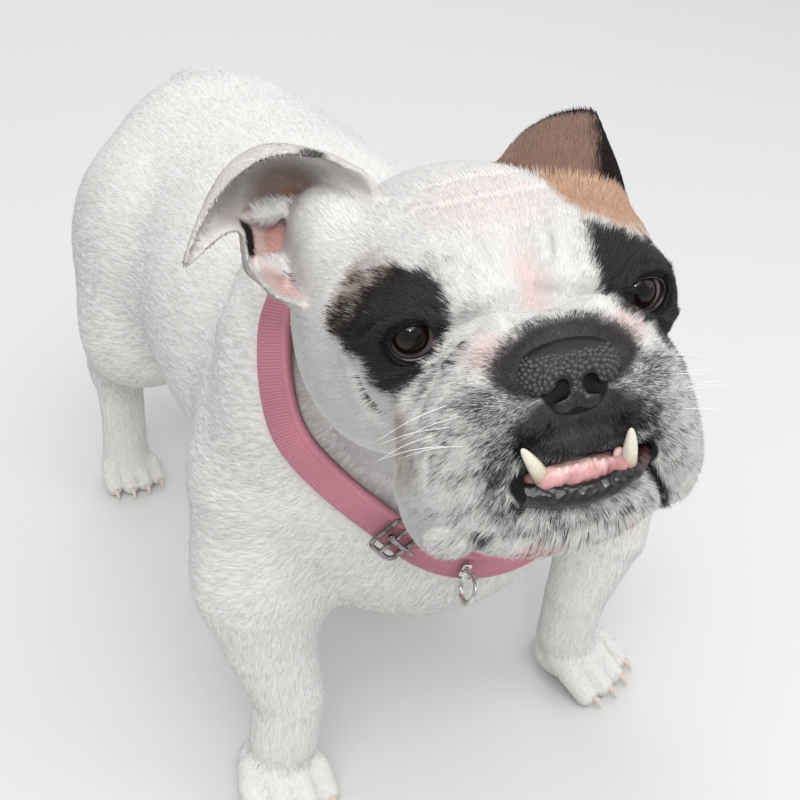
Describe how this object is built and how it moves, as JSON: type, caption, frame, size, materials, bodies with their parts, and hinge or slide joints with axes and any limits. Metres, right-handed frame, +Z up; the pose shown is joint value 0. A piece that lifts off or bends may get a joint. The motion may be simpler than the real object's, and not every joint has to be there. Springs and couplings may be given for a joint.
{
  "type": "english bulldog",
  "caption": "Life-size standing english bulldog, white with black patches round its eyes, head turned and raised, wearing a pink webbing collar.",
  "frame": {"origin": "bottom centre of the model's bounding box, on the floor under the belly", "axes": "+Z up, the dog faces -Y, its own left side is +X"},
  "size_m": [0.3452, 0.5744, 0.4308],
  "materials": {
    "coat": "short flat white hair",
    "paw": "short white hair with pale claws",
    "chin": "black lip, grey and white hair, pink gum and ivory teeth",
    "nose_leather": "damp pebbled leather",
    "eye": "wet dark brown",
    "ear_grey": "short grey and white hair, pink inside",
    "ear_brown": "short brown hair with a black edge",
    "webbing": "ribbed pink webbing",
    "dark_metal": "dark worn steel",
    "ring_metal": "polished, slightly yellow steel"
  },
  "bodies": {
    "root": {"torso": "coat", "tail": "coat", "neck": "coat", "foreleg_right": "coat", "foreleg_left": "coat", "hindleg_right": "coat", "hindleg_left": "coat", "forepaw_right": "paw", "forepaw_left": "paw", "hindpaw_right": "paw", "hindpaw_left": "paw", "eye_right": "eye", "eye_left": "eye", "lower_jaw": "chin", "nose": "nose_leather", "head": "coat", "ear_right": "ear_grey", "ear_left": "ear_brown", "collar": "webbing", "collar_buckle": "dark_metal", "collar_ring": "ring_metal"}
  },
  "joints": []
}
